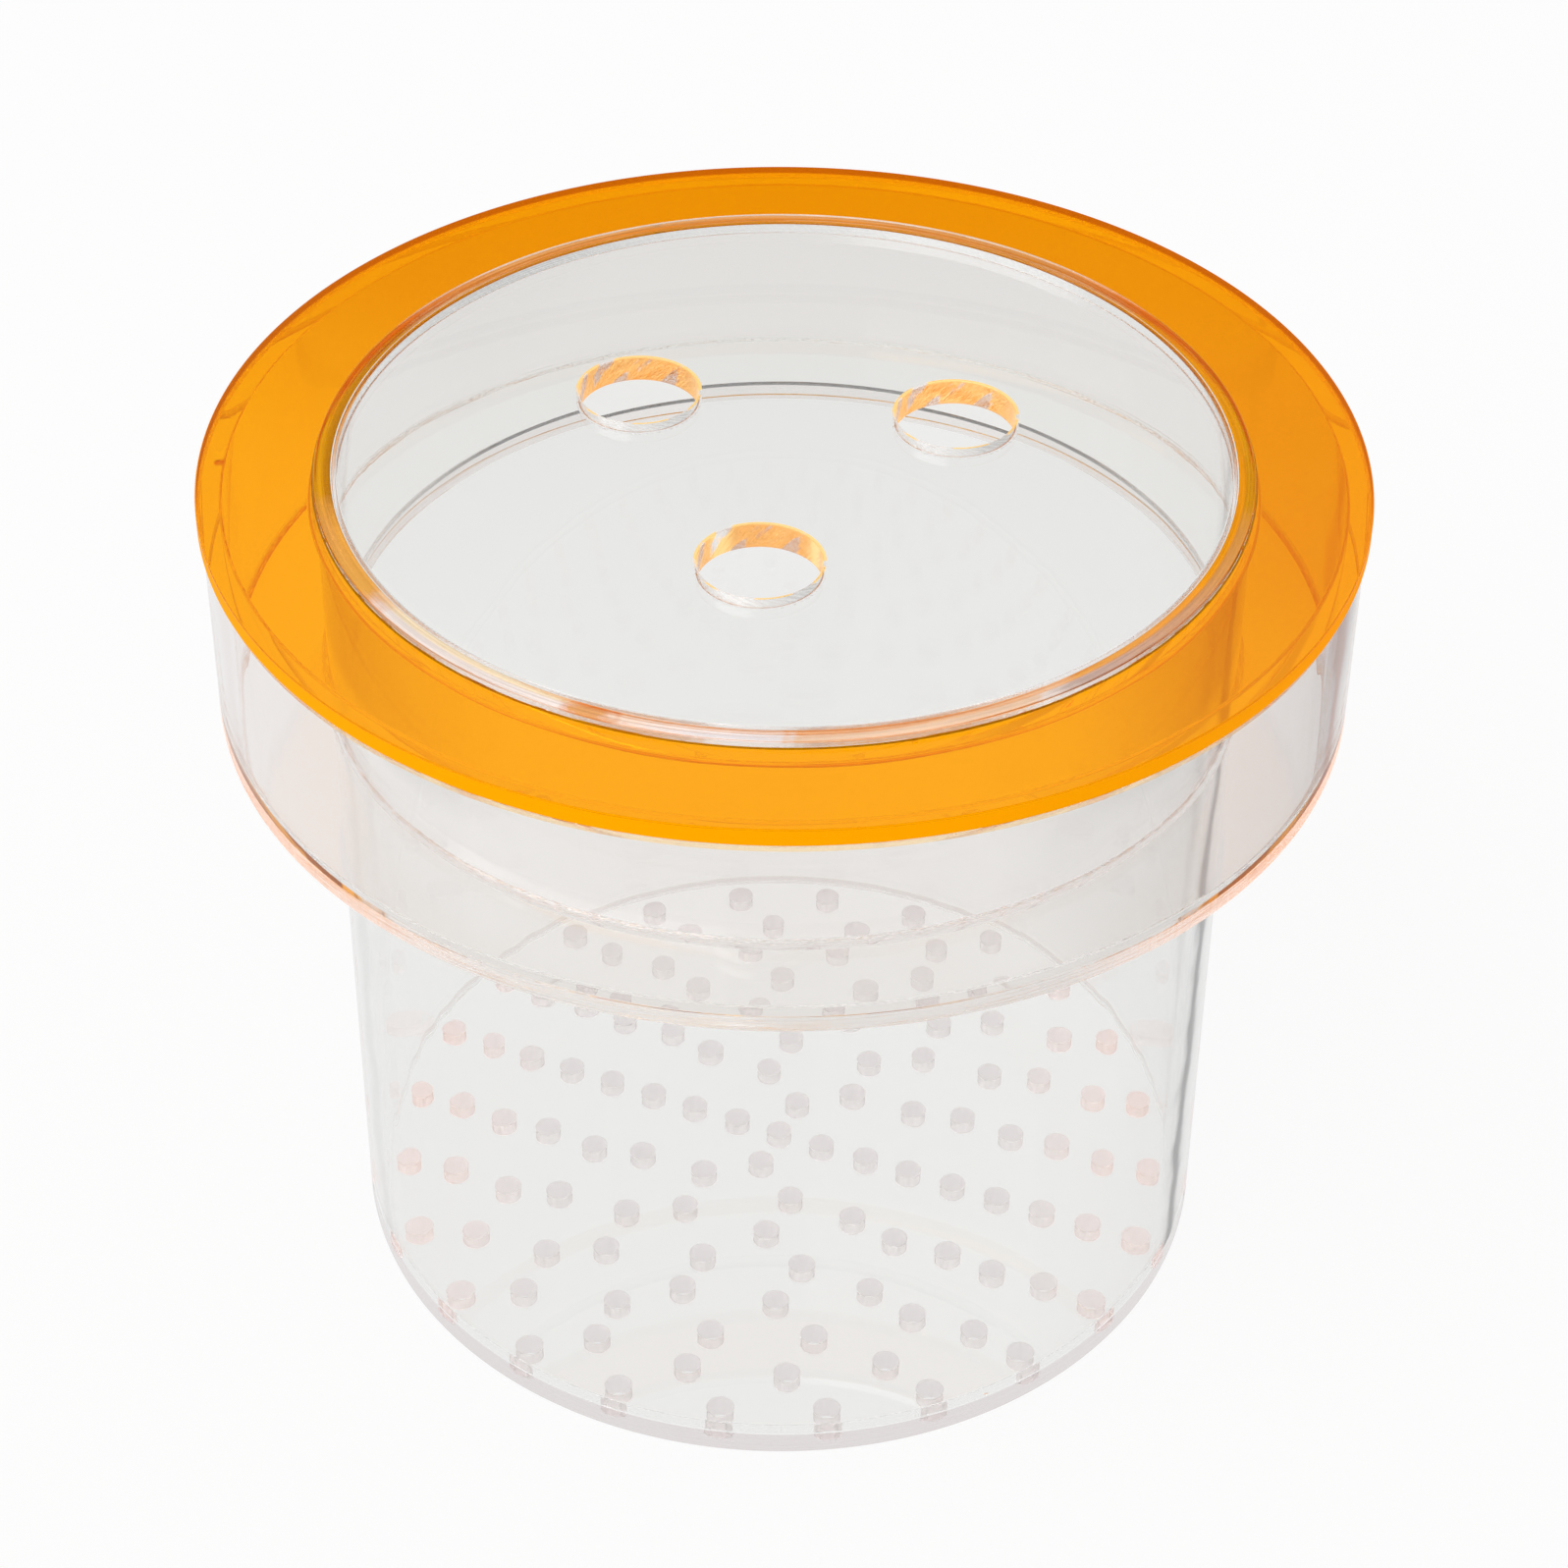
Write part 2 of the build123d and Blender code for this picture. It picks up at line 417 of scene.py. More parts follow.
def drilled_wall(name, plastic):
    """The wall of a hole drilled dry: the bit tears and heats the plastic, which is left evenly
    frosted, partly white and opaque, with the rings of the bit in it. It has a faint painted glow,
    which is stronger seen through the sheet, and out at the sides a painted orange light for the
    orange light that comes down the tube."""
    material, tree, out = new_material(name)
    wall = add(tree, "ShaderNodeUVMap", uv_map="wall_mm").outputs["UV"]
    ring_width, ring_length, ring_depth = 0.25, 1.5, 0.03 * MM
    bit_lines = add(tree, "ShaderNodeMapping", {"Vector": wall,
                                                "Scale": (1 / ring_length, 1 / ring_width, 1.0)})
    rings = add(tree, "ShaderNodeTexNoise", {"Vector": bit_lines.outputs[0], "Scale": 1.0,
                                             "Detail": 3.0, "Roughness": 0.6})
    relief = add(tree, "ShaderNodeBump", {"Height": rings.outputs["Fac"], "Strength": 1.0,
                                          "Distance": ring_depth})
    # Painted orange light towards the sides, and a painted glow all over that is stronger where the
    # wall is seen through the sheet
    caught = painted_light_at_sides(tree)
    tint = add(tree, "ShaderNodeMix", {"Factor": caught, 6: linear("#FAF6F6"),
                                       7: linear("#FF9860")}, data_type="RGBA")
    inside = add(tree, "ShaderNodeNewGeometry").outputs["Backfacing"]
    pale = add(tree, "ShaderNodeMapRange", {"Value": inside, "To Min": 0.1, "To Max": 0.2})
    light = add(tree, "ShaderNodeMath", {0: caught, 1: 0.14, 2: pale.outputs["Result"]},
                operation="MULTIPLY_ADD")
    skin = add(tree, "ShaderNodeBsdfPrincipled",
               {**plastic, "Base Color": linear("#EEE8E8"), "Transmission Weight": 0.7,
                "Roughness": 1.0, "Normal": relief.outputs["Normal"],
                "Emission Color": tint.outputs[2], "Emission Strength": light.outputs[0]})
    tree.links.new(skin.outputs[0], out.inputs["Surface"])
    material.cycles.emission_sampling = "NONE"
    return material


def hardened_cement(name, plastic, straight, glow=0.0, at_back=None):
    """Cement squeezed out of a joint and set in the corner: glossy, with ripples drawn out along
    the joint where it crept and shrank, so that it shows as broken bright and dark lines. It is
    thin enough that a share of the light goes straight through. at_back is the colour it darkens to
    towards the back of the box. With a glow, it has a painted glow."""
    material, tree, out = new_material(name)
    wall = add(tree, "ShaderNodeUVMap", uv_map="wall_mm").outputs["UV"]
    ripple_width, ripple_length, ripple_depth = 0.7, 7.0, 0.35 * MM
    drawn_out = add(tree, "ShaderNodeMapping",
                    {"Vector": wall, "Scale": (1 / ripple_length, 1 / ripple_width, 1.0)})
    ripple = add(tree, "ShaderNodeTexNoise", {"Vector": drawn_out.outputs[0], "Scale": 1.0,
                                              "Detail": 3.0, "Roughness": 0.6})
    relief = add(tree, "ShaderNodeBump", {"Height": ripple.outputs["Fac"], "Strength": 1.0,
                                          "Distance": ripple_depth})
    skin = add(tree, "ShaderNodeBsdfPrincipled",
               {**plastic, "Roughness": 0.0, "Normal": relief.outputs["Normal"]})
    # Darker towards the back of the box
    if at_back:
        place = add(tree, "ShaderNodeTexCoord").outputs["Object"]
        along = add(tree, "ShaderNodeSeparateXYZ", {"Vector": place}).outputs["Y"]
        back = add(tree, "ShaderNodeMapRange", {"Value": along, "From Min": 0.0,
                                                "From Max": 35 * MM})
        tint = add(tree, "ShaderNodeMix", {"Factor": back.outputs["Result"],
                                           6: plastic["Base Color"], 7: at_back},
                   data_type="RGBA")
        tree.links.new(tint.outputs[2], skin.inputs["Base Color"])
    if glow:
        tree.links.new(painted_glow_going_in(tree, glow), skin.inputs["Emission Strength"])
    thin = add(tree, "ShaderNodeBsdfTransparent", {"Color": plastic["Base Color"]})
    both = add(tree, "ShaderNodeMixShader", {"Fac": straight, 1: skin.outputs[0],
                                             2: thin.outputs[0]})
    tree.links.new(both.outputs[0], out.inputs["Surface"])
    material.cycles.emission_sampling = "NONE"
    return material


def cemented(name, plastic, missed, glow=0.0):
    """A face bonded with solvent cement: light goes straight through, taking on the sheet's own
    colour. Patches that the cement missed, fewer the higher missed is, shine as thin films of air.
    With a glow, it adds a painted glow of the sheet's orange."""
    material, tree, out = new_material(name)
    place = add(tree, "ShaderNodeTexCoord").outputs["Object"]
    patch_size, patch_edge = 7 * MM, 0.03
    patch = add(tree, "ShaderNodeTexNoise", {"Vector": place, "Scale": 1 / patch_size,
                                             "Detail": 3.0})
    share = add(tree, "ShaderNodeMapRange", {"Value": patch.outputs["Fac"], "From Min": missed,
                                             "From Max": missed + patch_edge})
    crossing = [math.sqrt(part) for part in plastic["Base Color"][:3]] + [1.0]
    joined = add(tree, "ShaderNodeBsdfTransparent", {"Color": crossing}).outputs[0]
    # Painted glow of the sheet's orange
    if glow:
        lit = add(tree, "ShaderNodeEmission", {"Color": plastic["Emission Color"],
                                               "Strength": painted_glow_going_in(tree, glow)})
        joined = add(tree, "ShaderNodeAddShader", {0: joined, 1: lit.outputs[0]}).outputs[0]
    open_face = add(tree, "ShaderNodeBsdfPrincipled", {**plastic, "Roughness": 0.05})
    both = add(tree, "ShaderNodeMixShader", {"Fac": share.outputs["Result"], 1: joined,
                                             2: open_face.outputs[0]})
    tree.links.new(both.outputs[0], out.inputs["Surface"])
    material.cycles.emission_sampling = "NONE"
    return material


# Strength of the painted glow of the orange dye
painted_dye_glow = 0.4

# The painted light and shade of the tube's end: orange, peach and white tints and brown shades,
# from its +X side round
inner_half = [(0, "#E06400"), (35, "#E06800"), (55, "#E8A860"), (130, "#E8A860"),
              (150, "#B85000"), (190, "#A04400"), (198, "#F07C10"), (212, "#F08418"),
              (218, "#FFD9A0"), (244, "#FFD9A0"), (245, "#E87A30"), (250, "#E87A30"),
              (251, "#FFC8A0"), (262, "#FFDECB"), (270, "#FFDECB"), (271, "#FFB070"),
              (303, "#FFA868"), (306, "#F88820"), (330, "#F87000"), (345, "#E86400")]
outer_half = [(0, "#D06400"), (35, "#E06C00"), (55, "#F0CDB0"), (130, "#F0CDB0"),
              (150, "#E87000"), (190, "#E07000"), (198, "#E87818"), (212, "#F08818"),
              (217, "#FFE8DC"), (244, "#FFE8DC"), (245, "#E07A30"), (250, "#E07A30"),
              (251, "#FFD0B0"), (262, "#FFF0F0"), (270, "#FFF0F0"), (271, "#FFC090"),
              (300, "#FFC090"), (301, "#FFE4D4"), (306, "#B89080"), (320, "#D08050"),
              (333, "#CC6C20"), (348, "#D06400")]

clear_face = polished_acrylic("cast_acrylic_clear", CLEAR_ACRYLIC)
# Painted streaks: dark grey painted shade on the tube's outside, which also darkens under the
# cover, pale grey painted shade on its bore, and a pinkish brown painted streak for the orange
# light and shade caught in the float wall
tube_face = drawn_acrylic("extruded_acrylic_tube", CLEAR_ACRYLIC, linear("#2C2A2A"), 0.72)
tube_bore = drawn_acrylic("extruded_acrylic_bore", CLEAR_ACRYLIC, linear("#C8C6C4"))
wall_face = drawn_acrylic("extruded_acrylic_float",
                          {**CLEAR_ACRYLIC, "Base Color": linear("#FDFAF9")}, linear("#C08878"))
orange_face = polished_acrylic("cast_acrylic_orange", ORANGE_ACRYLIC, painted_dye_glow)
clear_cut = cut_edge("laser_cut_edge_clear", CLEAR_ACRYLIC, 0.05, 0.03, 0.1, slant=0.3)
# Its grey-pink base colour is painted shade with a touch of painted orange light on the disc's edge
disc_cut = cut_edge("laser_cut_edge_disc", {**CLEAR_ACRYLIC, "Base Color": linear("#E2D8D7")},
                    0.05, 0.03, 0.1, slant=0.3)
# Its glow is a painted orange light towards the left and right
ring_cut = cut_edge("turned_edge_clear",
                    {**CLEAR_ACRYLIC, "Base Color": linear("#FDFBFA"),
                     "Emission Color": linear("#FFBE98")},
                    0.08, 0.12, 0.15, glow=0.35, at_sides=True)
# A cut edge of dyed sheet hides what lies behind it, and has a stronger painted glow for the dye's
# light that it gathers
orange_cut = cut_edge("laser_cut_edge_orange",
                      {**ORANGE_ACRYLIC, "Transmission Weight": 0.1, "Specular IOR Level": 0.0},
                      0.01, 0.0, 0.3, glow=1.2 * painted_dye_glow)
# A painted orange glow and tint in slanted patches while the lid is in place
finger_cut = cut_edge("laser_cut_finger_hole",
                      {**CLEAR_ACRYLIC, "Emission Color": linear("#FFC058")},
                      0.12, 0.0, 0.05, slant=0.8, glow=0.25, broken=True)
faced_rim = faced_end("faced_tube_end", CLEAR_ACRYLIC, inner_half, outer_half, 0.18)
drilled = drilled_wall("drilled_acrylic", CLEAR_ACRYLIC)
bead_clear = hardened_cement("hardened_cement_clear", CLEAR_ACRYLIC, 0.1)
bead_ring = hardened_cement("hardened_cement_ring", CLEAR_ACRYLIC, 0.2,
                            at_back=linear("#1C1C1E"))
bead_orange = hardened_cement("hardened_cement_orange",
                              {**ORANGE_ACRYLIC, "Base Color": linear("#9C6000")},
                              0.0, 0.1 * painted_dye_glow)
# A bead with a painted cream tint and painted glow for the orange light inside it
bead_painted_light = hardened_cement("hardened_cement_painted_light",
                           {**CLEAR_ACRYLIC, "Base Color": linear("#FFE6B4"),
                            "Emission Color": linear("#FFB040")}, 0.3, 0.12)
joint_clear = cemented("cement_joint_clear", CLEAR_ACRYLIC, 0.76)
joint_ring = cemented("cement_joint_ring",
                      {**CLEAR_ACRYLIC, "Base Color": linear("#F4F0EE")}, 0.8)
joint_orange = cemented("cement_joint_orange", ORANGE_ACRYLIC, 0.7, 0.5 * painted_dye_glow)


# Shells: closed pieces made of rings of points, with the exact normal at each

class Shell:
    """Gathers the points, faces, normals, wall places and finishes of one closed piece."""

    def __init__(self):
        self.points, self.normals = [], []
        self.faces, self.places, self.finishes = [], [], []

    def ring(self, centre, steps):
        """One ring of points, from the step of the profile at each angle. Returns the number of
        its first point."""
        first = len(self.points)
        for i, (radius, height, out, up, _) in enumerate(steps):
            angle = 2 * math.pi * i / len(steps)
            across, along = math.cos(angle), math.sin(angle)
            self.points.append((centre[0] + radius * across, centre[1] + radius * along, height))
            self.normals.append((out * across, out * along, up))
        return first

    def band(self, lower, upper, count, radius, start, length, finish):
        """The faces between two rings, with their places along and up the wall."""
        for i in range(count):
            j = (i + 1) % count
            left, right = 2 * math.pi * radius * i / count, 2 * math.pi * radius * (i + 1) / count
            self.faces.append((lower + i, lower + j, upper + j, upper + i))
            self.places.append(((left, start), (right, start),
                                (right, start + length), (left, start + length)))
            self.finishes.append(finish)

    def strip(self, profile, centre=(0.0, 0.0), count=round_points, closed=False):
        """The bands along a profile, which gives the steps at an angle in degrees. Returns the
        first points of its first and last ring."""
        sections = [profile(360 * i / count) for i in range(count)]
        rings = [self.ring(centre, steps) for steps in zip(*sections)]
        steps = sections[0]
        wall_radius = max(step[0] for step in steps)
        pairs = list(zip(range(len(steps)), range(1, len(steps))))
        if closed:
            pairs.append((len(steps) - 1, 0))
        travelled = 0.0
        for a, b in pairs:
            length = math.dist(steps[a][:2], steps[b][:2])
            self.band(rings[a], rings[b], count, wall_radius, travelled, length, steps[a][4])
            travelled += length
        return rings[0], rings[-1]

    def cap(self, loops, finish, up):
        """A flat face inside the first loop and outside the others, each (first point, count)."""
        numbers, loop_of, edges = [], [], []
        for which, (first, count) in enumerate(loops):
            start = len(numbers)
            numbers += range(first, first + count)
            loop_of += [which] * count
            edges += [(start + i, start + (i + 1) % count) for i in range(count)]
        spots = [Vector(self.points[n][:2]) for n in numbers]
        same_spot = 1e-5
        _, _, triangles, origins, _, _ = geometry.delaunay_2d_cdt(spots, edges, [], 0, same_spot)
        for triangle in triangles:
            corners = [origins[k][0] for k in triangle]
            whose = {loop_of[k] for k in corners}
            if len(whose) == 1 and whose != {0}:
                continue
            corners = [numbers[k] for k in corners]
            (ax, ay, _), (bx, by, _), (cx, cy, _) = (self.points[k] for k in corners)
            if ((bx - ax) * (cy - ay) - (by - ay) * (cx - ax) > 0) != up:
                corners.reverse()
            self.faces.append(tuple(corners))
            self.places.append(tuple(self.points[k][:2] for k in corners))
            self.finishes.append(finish)

    def piece(self, name, body, node, slot, materials):
        """Makes the Blender piece that stands for a CAD node."""
        mesh = bpy.data.meshes.new(name)
        mesh.from_pydata([Vector(p) * MM for p in self.points], [], self.faces)
        for material in materials:
            mesh.materials.append(material)
        walls = mesh.uv_layers.new(name="wall_mm")
        for face, place, finish in zip(mesh.polygons, self.places, self.finishes):
            face.material_index = materials.index(finish)
            for loop, spot in zip(face.loop_indices, place):
                walls.data[loop].uv = spot
        mesh.shade_smooth()
        mesh.normals_split_custom_set_from_vertices(self.normals)
        made = bpy.data.objects.new(name, mesh)
        bpy.context.scene.collection.objects.link(made)
        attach(made, body)
        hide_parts(node)


def rounded(corners, closed=False):
    """Steps along a profile of corners (radius, height, rounding, finish of what follows), with the
    solid on the left. A step is (radius, height, outward normal, upward normal, finish)."""
    steps = []
    count = len(corners)
    straight_on = 1e-6
    for i, (radius, height, rounding, finish) in enumerate(corners):
        here = Vector((radius, height))
        before = here - Vector(corners[i - 1][:2])
        after = Vector(corners[(i + 1) % count][:2]) - here
        if not closed and i == 0:
            before = after
        if not closed and i == count - 1:
            after = before
        before.normalize()
        after.normalize()
        turn = math.atan2(before.x * after.y - before.y * after.x, before.dot(after))
        if abs(turn) < straight_on:
            steps.append((radius, height, after.y, -after.x, finish))
            continue
        cut = rounding * math.tan(abs(turn) / 2)
        side = math.copysign(1.0, turn)
        normal = Vector((before.y, -before.x))
        middle = here - before * cut - normal * rounding * side
        for k in range(arc_steps + 1):
            facing = normal.copy()
            facing.rotate(Matrix.Rotation(turn * k / arc_steps, 2))
            spot = middle + facing * rounding * side
            steps.append((spot.x, spot.y, facing.x, facing.y, finish))
    return steps


def turned(corners):
    """A ring-shaped shell about the upright axis. corners gives the profile's corners at an angle,
    or is a list of them where they are the same all round."""
    shell = Shell()
    if callable(corners):
        shell.strip(lambda angle: rounded(corners(angle), closed=True), closed=True)
    else:
        steps = rounded(corners, closed=True)
        shell.strip(lambda angle: steps, closed=True)
    return shell


def drilled_sheet(outline, holes, face_finish):
    """A round sheet with holes. outline is its edge, from the bottom face out and up to the top
    face; holes is a list of (centre, profile from the top face to the bottom face, point count)."""
    shell = Shell()
    edge = rounded(outline)
    bottom, top = shell.strip(lambda angle: edge)
    bottoms, tops = [(bottom, round_points)], [(top, round_points)]
    for centre, profile, count in holes:
        wall = rounded(profile)
        first, last = shell.strip(lambda angle: wall, centre, count)
        tops.append((first, count))
        bottoms.append((last, count))
    shell.cap(tops, face_finish, up=True)
    shell.cap(bottoms, face_finish, up=False)
    return shell


def hole_profile(hole, top, bottom, edge, finish):
    """A hole's wall, from the top face down to the bottom face."""
    radius = hole / 2
    far = radius + 2 * edge
    return [(far, top, 0, finish), (radius, top, edge, finish), (radius, bottom, edge, finish),
            (far, bottom, 0, finish)]


def on_circle(radius, degrees):
    """A point on a circle about the upright axis."""
    return radius * math.cos(math.radians(degrees)), radius * math.sin(math.radians(degrees))


def drain_places():
    """Centres of the floor's drilled holes: one in the middle and rings that start on one row."""
    places = [(0.0, 0.0)]
    drilled_radius = bore_radius - drain_hole / 2 - least_land
    for ring in range(1, int(drilled_radius / ring_pitch) + 1):
        radius = ring * ring_pitch
        count = 2 * round(math.pi * radius / hole_spacing)
        places += [on_circle(radius, row_angle + 360 * i / count) for i in range(count)]
    return places


# Floor disc: laser-cut round sheet, drilled, with the tube cemented on its rim
drain_wall = hole_profile(drain_hole, disc_top, disc_bottom, drilled_edge, drilled)
floor_outline = [(tube_radius - face_margin, disc_bottom, 0, clear_face),
                 (tube_radius, disc_bottom, broken_edge, disc_cut),
                 (tube_radius, disc_top, foot_edge, joint_clear),
                 (bore_radius - foot_fillet, disc_top, 0, clear_face)]
drilled_floor = drilled_sheet(floor_outline,
                              [(place, drain_wall, drain_hole_points) for place in drain_places()],
                              clear_face)
drilled_floor.piece("drilled_floor", "box", "floor_disc", "clear_sheet",
                    [clear_face, disc_cut, joint_clear, drilled])


def fillet(angle):
    """How far the cement under the cover has crept down the tube at an angle: most in front,
    least from the sides round the back, and a little uneven all round."""
    in_front = max(0.0, -math.sin(math.radians(angle))) ** 0.5
    return (cover_fillet_least + (cover_fillet - cover_fillet_least) * in_front
            + 0.06 * math.sin(math.radians(5 * angle))
            + 0.04 * math.sin(math.radians(17 * angle + 40)))


# Chamber tube: extruded tube, both ends faced, cemented to the floor and to both float rings
def chamber_corners(angle):
    """The tube's profile, cut away at an angle by the fillet of cement under the cover."""
    return [(tube_radius, tube_bottom + joint_line, foot_edge, tube_face),
            (tube_radius, base_bottom, 0, joint_clear),
            (tube_radius, base_top + ring_fillet, 0, tube_face),
            (tube_radius, cover_bottom - fillet(angle), 0, joint_clear),
            (tube_radius, cover_top + cement_bead, 0, tube_face),
            (tube_radius, tube_top, broken_edge, faced_rim),
            (bore_radius, tube_top, broken_edge, tube_bore),
            (bore_radius, tube_bottom + foot_fillet, fillet_hollow * foot_fillet, bead_clear),
            (bore_radius - foot_fillet, tube_bottom + joint_line, sharp_edge, joint_clear)]


turned(chamber_corners).piece("drawn_tube", "box", "chamber_tube", "clear_tube",
                              [tube_face, joint_clear, faced_rim, tube_bore, bead_clear])

# Float floor: clear ring cemented round the tube, with a fillet of cement on top
collar = tube_radius + joint_line
ring_top = base_top - joint_line
base_ring = turned([(collar, base_bottom, sharp_edge, clear_face),
                    (float_radius, base_bottom, broken_edge, ring_cut),
                    (float_radius, ring_top, sharp_edge, joint_clear),
                    (float_bore - squeeze_out, ring_top, 0, clear_face),
                    (collar + ring_fillet, ring_top, fillet_hollow * ring_fillet, bead_ring),
                    (collar, ring_top + ring_fillet, sharp_edge, bead_ring),
                    (collar, ring_top, 0, joint_ring)])
base_ring.piece("float_base_ring", "box", "float_floor", "clear_sheet",
                [clear_face, ring_cut, joint_clear, joint_ring, bead_ring])

# Float wall: a slice of larger extruded tube, with cement squeezed out along its joints
low_joint, high_joint = wall_bottom + joint_line, wall_top - joint_line
outer_wall = turned([(float_radius, low_joint, sharp_edge, wall_face),
                     (float_radius, high_joint - outer_bead, squeeze_out, bead_painted_light),
                     (float_radius + squeeze_out, high_joint, sharp_edge, joint_clear),
                     (float_bore - squeeze_out, high_joint, sharp_edge, bead_clear),
                     (float_bore, high_joint - squeeze_out, squeeze_out, wall_face),
                     (float_bore, low_joint + squeeze_out, squeeze_out, bead_clear),
                     (float_bore - squeeze_out, low_joint, sharp_edge, joint_clear)])
outer_wall.piece("float_outer_wall", "box", "float_wall", "clear_tube",
                 [wall_face, joint_clear, bead_clear, bead_painted_light])

# Orange cover: laser-cut ring, with a bead of cement above and a fillet below at the tube
def cover_corners(angle):
    """The cover's profile, with the fillet that reaches down the tube at an angle."""
    reach_down = fillet(angle)
    return [(collar, cover_bottom - reach_down, sharp_edge, bead_orange),
            (collar + cover_fillet_width * reach_down, cover_bottom,
             cover_fillet_hollow * reach_down, orange_face),
            (float_bore - squeeze_out, cover_bottom, 0, joint_orange),
            (float_radius + squeeze_out, cover_bottom, 0, orange_face),
            (cover_radius, cover_bottom, broken_edge, orange_cut),
            (cover_radius, cover_top, broken_edge, orange_face),
            (collar + cement_bead, cover_top, cement_bead, bead_orange),
            (collar, cover_top + cement_bead, sharp_edge, joint_orange)]


turned(cover_corners).piece("orange_cover", "box", "float_cover", "orange_sheet",
                            [orange_face, joint_orange, orange_cut, bead_orange])

# Lid: laser-cut disc with three finger holes
finger_wall = hole_profile(finger_hole, lid_top, lid_bottom, broken_edge, finger_cut)
finger_places = [on_circle(finger_circle / 2, finger_start + 360 * i / finger_count)
                 for i in range(finger_count)]
lid_disc = drilled_sheet([(lid_radius - face_margin, lid_bottom, 0, clear_face),
                          (lid_radius, lid_bottom, broken_edge, clear_cut),
                          (lid_radius, lid_top, broken_edge, clear_face),
                          (lid_radius - face_margin, lid_top, 0, clear_face)],
                         [(place, finger_wall, finger_hole_points) for place in finger_places],
                         clear_face)
lid_disc.piece("lid_disc", "lid", "lid", "clear_sheet", [clear_face, clear_cut, finger_cut])


# Studio

def pale_floor():
    """A plain matt sweep under strong light. Most of what the camera sees of it is a plain white,
    and the rest is matt paper, which keeps the object's shadow. Seen through or in the plastic, it
    has painted shade that falls off to the right, as on a sweep that is lit from the left."""
    material, tree, out = new_material("pale_floor")
    paper = add(tree, "ShaderNodeBsdfDiffuse", {"Color": linear("#F4F4F3")})
    place = add(tree, "ShaderNodeTexCoord").outputs["Object"]
    right = add(tree, "ShaderNodeSeparateXYZ", {"Vector": place}).outputs["X"]
    # Painted shade on the floor towards the right, seen only through or in the plastic
    level = add(tree, "ShaderNodeMapRange", {"Value": right, "From Min": 94 * MM,
                                             "From Max": 124 * MM, "To Min": 0.88, "To Max": 0.6},
                interpolation_type="SMOOTHSTEP")
    beyond = add(tree, "ShaderNodeMapRange", {"Value": right, "From Min": 120 * MM,
                                              "From Max": 300 * MM, "To Min": 1.0, "To Max": 0.4})
    level = add(tree, "ShaderNodeMath", {0: level.outputs["Result"], 1: beyond.outputs["Result"]},
                operation="MULTIPLY")
    ray = add(tree, "ShaderNodeLightPath")
    white = add(tree, "ShaderNodeMath", {0: level.outputs[0], 1: ray.outputs["Is Camera Ray"]},
                operation="MAXIMUM")
    lifted = add(tree, "ShaderNodeEmission", {"Color": WHITE, "Strength": white.outputs[0]})
    lift_through, lift_straight = 0.88, 0.92
    seen = add(tree, "ShaderNodeMath", {0: ray.outputs["Is Glossy Ray"],
                                        1: ray.outputs["Is Transmission Ray"]}, operation="MAXIMUM")
    through = add(tree, "ShaderNodeMath", {0: seen.outputs[0], 1: lift_through},
                  operation="MULTIPLY")
    straight = add(tree, "ShaderNodeMath", {0: ray.outputs["Is Camera Ray"], 1: lift_straight},
                   operation="MULTIPLY")
    lift = add(tree, "ShaderNodeMath", {0: through.outputs[0], 1: straight.outputs[0]},
               operation="MAXIMUM")
    both = add(tree, "ShaderNodeMixShader", {"Fac": lift.outputs[0], 1: paper.outputs[0],
                                             2: lifted.outputs[0]})
    tree.links.new(both.outputs[0], out.inputs["Surface"])
    return material


def studio_floor():
    """The floor under the box, a large disc."""
    radius = 3.0
    mesh = bpy.data.meshes.new("studio_floor")
    edge = [(*on_circle(radius, degrees), 0.0) for degrees in range(0, 360, 5)]
    mesh.from_pydata(edge, [], [tuple(range(len(edge)))])
    mesh.materials.append(pale_floor())
    floor = bpy.data.objects.new("studio_floor", mesh)
    bpy.context.scene.collection.objects.link(floor)


def softbox(name, direction, distance, size, watts):
    """A square soft lamp that faces the box from a direction."""
    lamp = bpy.data.lights.new(name, "AREA")
    lamp.energy = watts
    lamp.size = size
    holder = bpy.data.objects.new(name, lamp)
    way = Vector(direction).normalized()
    holder.location = way * distance
    holder.rotation_euler = way.to_track_quat("Z", "Y").to_euler()
    bpy.context.scene.collection.objects.link(holder)


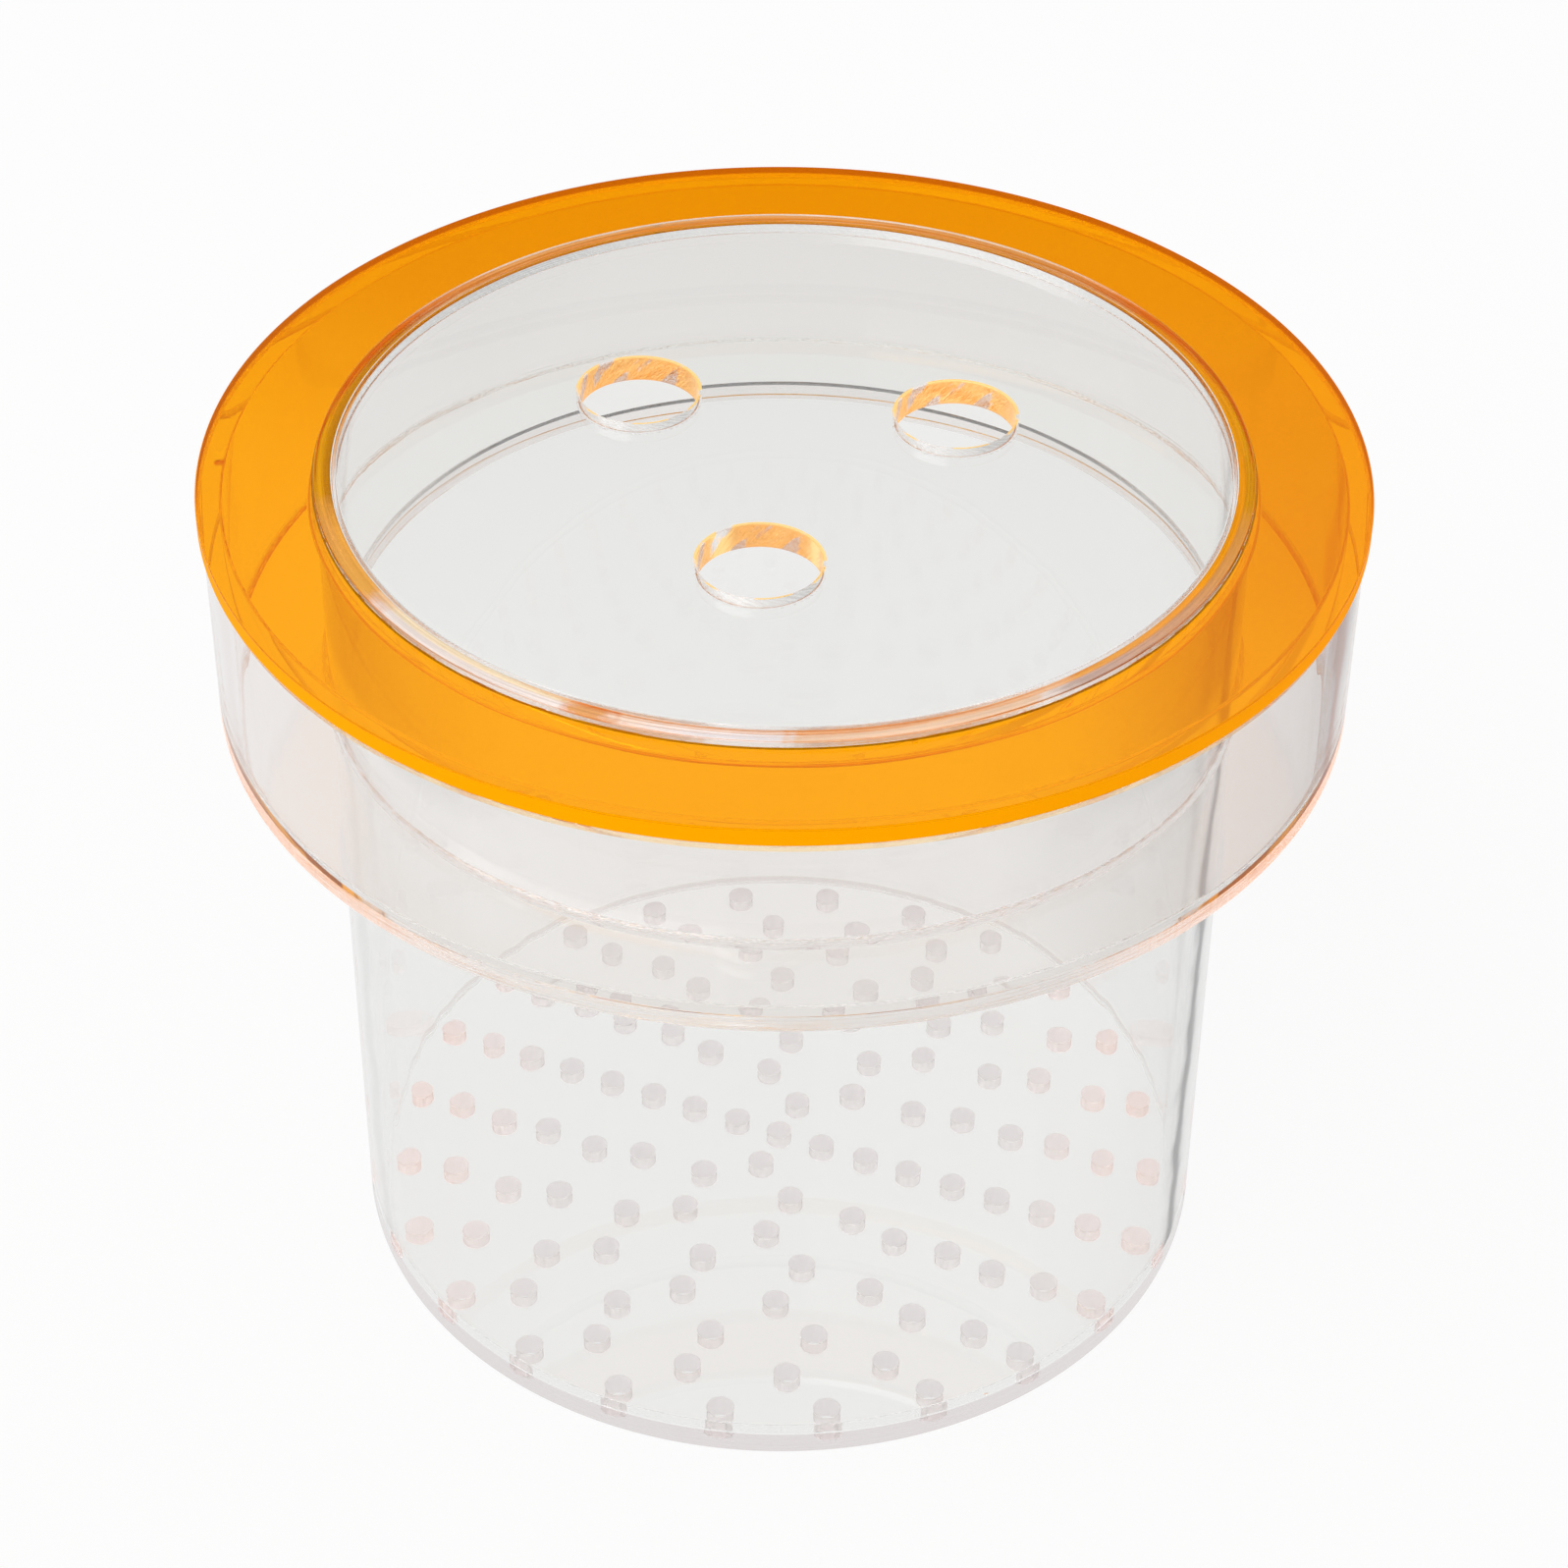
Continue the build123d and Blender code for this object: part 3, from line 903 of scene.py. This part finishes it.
def studio_world():
    """Pale surroundings. The camera sees white, and nearly white through the plastic. What the
    plastic mirrors is a bright ceiling, a dark gap below it, and grey walls."""
    world = bpy.data.worlds.new("studio")
    world.use_nodes = True
    tree = world.node_tree
    tree.nodes.clear()
    out = add(tree, "ShaderNodeOutputWorld")
    way = add(tree, "ShaderNodeTexCoord").outputs["Generated"]
    up = add(tree, "ShaderNodeSeparateXYZ", {"Vector": way}).outputs["Z"]
    ceiling = add(tree, "ShaderNodeMapRange", {"Value": up, "From Min": 0.49, "From Max": 0.64,
                                               "To Min": 0.04, "To Max": 0.8},
                  interpolation_type="SMOOTHSTEP")
    walls = add(tree, "ShaderNodeMapRange", {"Value": up, "From Min": 0.2, "From Max": 0.42,
                                             "To Min": 0.55, "To Max": 0.0},
                interpolation_type="SMOOTHSTEP")
    level = add(tree, "ShaderNodeMath", {0: ceiling.outputs["Result"], 1: walls.outputs["Result"]},
                operation="MAXIMUM")
    ray = add(tree, "ShaderNodeLightPath")
    white_through = 0.85
    through = add(tree, "ShaderNodeMath", {0: ray.outputs["Is Transmission Ray"], 1: white_through},
                  operation="MULTIPLY")
    bright = add(tree, "ShaderNodeMath", {0: through.outputs[0], 1: level.outputs[0]},
                 operation="MAXIMUM")
    seen = add(tree, "ShaderNodeMath", {0: ray.outputs["Is Camera Ray"], 1: bright.outputs[0]},
               operation="MAXIMUM")
    sky = add(tree, "ShaderNodeBackground", {"Color": WHITE, "Strength": seen.outputs[0]})
    tree.links.new(sky.outputs[0], out.inputs["Surface"])
    bpy.context.scene.world = world


def photo_camera():
    """The photograph's camera: a short telephoto from in front and above."""
    lens_mm, sensor_mm = 87.69, 36.0
    distance = 0.43482
    elevation = math.radians(38.69)
    roll = math.radians(0.483)
    aim = Vector((0.00021, 0.0, 0.05657))
    data = bpy.data.cameras.new("photo_camera")
    data.lens = lens_mm
    data.sensor_width = sensor_mm
    camera = bpy.data.objects.new("photo_camera", data)
    place = Vector((0.0, -distance * math.cos(elevation), aim.z + distance * math.sin(elevation)))
    look = (aim - place).to_track_quat("-Z", "Y").to_matrix().to_4x4()
    camera.matrix_world = Matrix.Translation(place) @ look @ Matrix.Rotation(roll, 4, "Z")
    bpy.context.scene.collection.objects.link(camera)
    bpy.context.scene.camera = camera


studio_floor()
studio_world()
softbox("key_softbox", direction=(-0.6, -0.5, 0.8), distance=3.0, size=3.0, watts=40.0)
photo_camera()

# Light runs to and fro in clear plastic many times before it comes out
turns_in_plastic = 160
scene = bpy.context.scene
scene.view_settings.view_transform = "Standard"
scene.cycles.max_bounces = turns_in_plastic
scene.cycles.transmission_bounces = turns_in_plastic
scene.cycles.glossy_bounces = turns_in_plastic
scene.cycles.transparent_max_bounces = turns_in_plastic
scene.cycles.diffuse_bounces = 3
